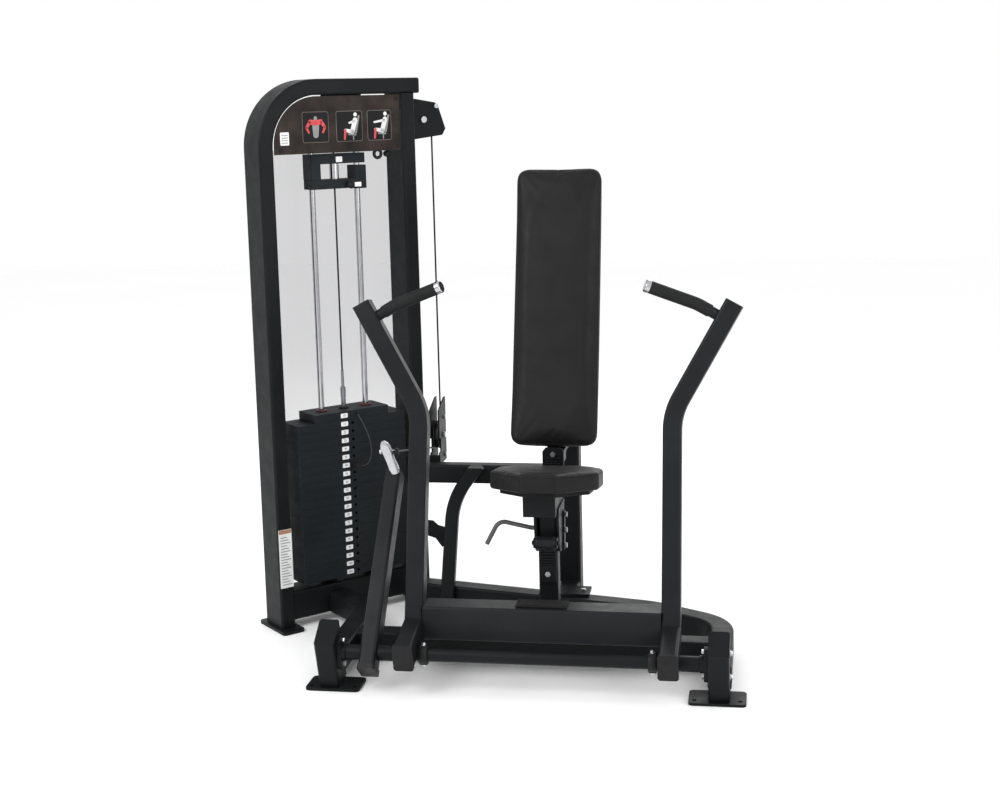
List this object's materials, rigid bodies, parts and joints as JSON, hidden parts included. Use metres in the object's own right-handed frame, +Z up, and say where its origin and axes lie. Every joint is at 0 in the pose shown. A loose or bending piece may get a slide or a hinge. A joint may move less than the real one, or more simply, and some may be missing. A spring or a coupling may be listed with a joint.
{
  "type": "selectorised chest press machine",
  "caption": "Seated chest press: swinging press arms pull a cable over pulleys to lift a pin-selected weight stack in a tower at one corner.",
  "frame": {"origin": "middle of the whole machine's footprint, on the floor", "axes": "+X to the right seen from the front, +Y away from the front (the user faces -Y), +Z up"},
  "size_m": [1.6473, 1.1266, 1.83],
  "materials": {
    "frame": "satin black powder coat",
    "plates": "satin blue-black coat",
    "chrome_rod": "polished",
    "steel": "zinc plated",
    "rubber": "matt",
    "upholstery": "fine-grained vinyl",
    "board": "matt",
    "placard": "satin",
    "clear_panel": "clear, faintly tinted",
    "cable_jacket": "satin",
    "pulley": "satin",
    "lanyard": "satin"
  },
  "bodies": {
    "frame": {"tower_arch": "frame", "tower_right_upright": "frame", "tower_base_beam": "frame", "top_beam_cap": "frame", "foot_plates": "frame", "rod_hanger": "frame", "top_pulley_housing": "frame", "lower_pulley_bracket": "frame", "base_side_frame": "frame", "base_beam": "frame", "left_pedestal": "frame", "right_pedestal": "frame", "seat_level_beam": "frame", "curved_brace": "frame", "back_post": "frame", "back_pad_brackets": "frame", "seat_post": "frame", "flange_bearings": "frame", "resting_plates": "plates", "guide_rods": "chrome_rod", "pulley_axles": "steel", "frame_bolts": "steel", "stack_bumpers": "rubber", "ratchet_strip": "rubber", "back_pad": "upholstery", "back_pad_board": "board", "exercise_placard": "placard", "rear_shield": "clear_panel", "return_cable": "cable_jacket"},
    "stack": {"head_plate": "plates", "lifted_plates": "plates", "selector_stem": "steel", "stack_cable": "cable_jacket", "pin_lanyard": "lanyard"},
    "pin": {"selector_pin": "rubber"},
    "addon_lower": {"addon_weight_lower": "plates", "addon_collar": "chrome_rod"},
    "addon_upper": {"addon_weight_upper": "plates"},
    "press_arm": {"pivot_shaft": "steel", "shaft_tubes": "frame", "left_press_arm": "frame", "right_press_arm": "frame", "arm_end_caps": "rubber", "torsion_box": "frame", "arm_bumper": "rubber", "cable_lever": "frame", "cable_clevis": "steel", "handle_grips": "rubber", "grip_end_caps": "chrome_rod"},
    "cable_front": {"lever_cable_outer": "cable_jacket"},
    "cable_rear": {"lever_cable_inner": "cable_jacket"},
    "lower_sheave": {"lower_pulley": "pulley"},
    "top_sheave_right": {"top_pulley_right": "pulley"},
    "top_sheave_left": {"top_pulley_left": "pulley"},
    "seat": {"seat_carriage": "frame", "seat_roller": "rubber", "seat_board": "board", "seat_pad": "upholstery", "seat_bolts": "steel"},
    "release_lever": {"seat_release_lever": "steel"}
  },
  "joints": [
    {"name": "press_arm_swing", "type": "hinge", "parent": "frame", "child": "press_arm", "pos_m": [0.21367, -0.48285, 0.115], "axis": [1, 0, 0], "range_deg": [0, 32]},
    {"name": "stack_lift", "type": "slide", "parent": "frame", "child": "stack", "axis": [0, 0, 1], "range_m": [0, 0.3515], "deforming": ["stack_cable"]},
    {"name": "pin_pull", "type": "slide", "parent": "stack", "child": "pin", "axis": [0.7071, -0.7071, 0], "range_m": [0, 0.09]},
    {"name": "addon_lower_slide", "type": "slide", "parent": "frame", "child": "addon_lower", "axis": [0, 0, 1], "range_m": [-0.74, 0]},
    {"name": "addon_upper_slide", "type": "slide", "parent": "frame", "child": "addon_upper", "axis": [0, 0, 1], "range_m": [-0.74, 0]},
    {"name": "cable_front_swing", "type": "hinge", "parent": "press_arm", "child": "cable_front", "pos_m": [-0.29133, -0.12543, 0.65007], "axis": [1, 0, 0], "range_deg": [-36, 0]},
    {"name": "cable_rear_swing", "type": "hinge", "parent": "frame", "child": "cable_rear", "pos_m": [-0.26861, 0.47231, 0.578], "axis": [1, 0, 0], "range_deg": [-4, 0]},
    {"name": "lower_pulley_spin", "type": "hinge", "parent": "frame", "child": "lower_sheave", "pos_m": [-0.26861, 0.47231, 0.578], "axis": [1, 0, 0], "range_deg": [-449, 0]},
    {"name": "top_right_pulley_spin", "type": "hinge", "parent": "frame", "child": "top_sheave_right", "pos_m": [-0.30043, 0.48549, 1.687], "axis": [-0.7071, 0.7071, 0], "range_deg": [0, 449]},
    {"name": "top_left_pulley_spin", "type": "hinge", "parent": "frame", "child": "top_sheave_left", "pos_m": [-0.51468, 0.27124, 1.687], "axis": [-0.7071, 0.7071, 0], "range_deg": [0, 449]},
    {"name": "seat_height", "type": "slide", "parent": "frame", "child": "seat", "axis": [0, 0, 1], "range_m": [0, 0.1]},
    {"name": "release_lever_swing", "type": "hinge", "parent": "seat", "child": "release_lever", "pos_m": [0.17437, -0.19085, 0.43], "axis": [1, 0, 0], "range_deg": [0, 14], "stiffness_Nm_per_rad": 3, "springref_deg": -5.73}
  ],
  "couplings": [
    {"joint": "stack_lift", "follows": "press_arm_swing", "m_per_rad": 0.6291},
    {"joint": "cable_front_swing", "follows": "press_arm_swing", "ratio": -1.0764},
    {"joint": "cable_rear_swing", "follows": "press_arm_swing", "ratio": -0.0764},
    {"joint": "lower_pulley_spin", "follows": "press_arm_swing", "ratio": -13.98},
    {"joint": "top_right_pulley_spin", "follows": "press_arm_swing", "ratio": 13.98},
    {"joint": "top_left_pulley_spin", "follows": "press_arm_swing", "ratio": 13.98},
    {"joint": "addon_upper_slide", "follows": "addon_lower_slide", "ratio": 1}
  ]
}
